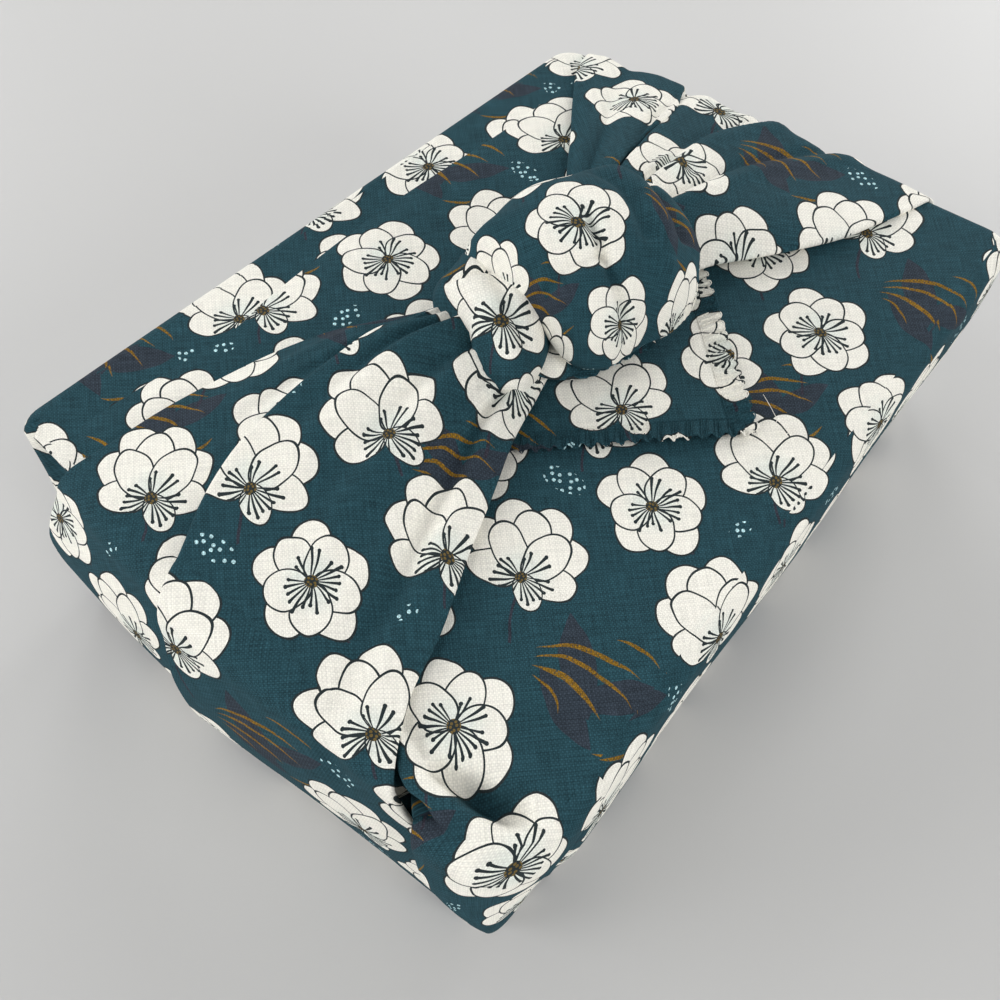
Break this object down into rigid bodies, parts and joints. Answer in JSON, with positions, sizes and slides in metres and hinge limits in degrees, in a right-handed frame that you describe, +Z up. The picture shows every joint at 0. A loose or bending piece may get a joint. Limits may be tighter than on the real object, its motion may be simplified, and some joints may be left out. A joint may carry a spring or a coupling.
{
  "type": "furoshiki wrap",
  "caption": "Furoshiki wrap: square of printed cotton folded round a gift box and knotted on top, two gathered ties over a flat flap with an overlocked hem",
  "frame": {"origin": "middle of the flat underside, on the table", "axes": "+X along the long side of the wrapped box, +Y along the short side towards the side the flap comes from, +Z up; the flap's corner points to -Y"},
  "size_m": [0.266, 0.1786, 0.1178],
  "materials": {
    "printed_cotton": "matt"
  },
  "bodies": {
    "root": {"furoshiki_cloth": "printed_cotton"}
  },
  "joints": []
}
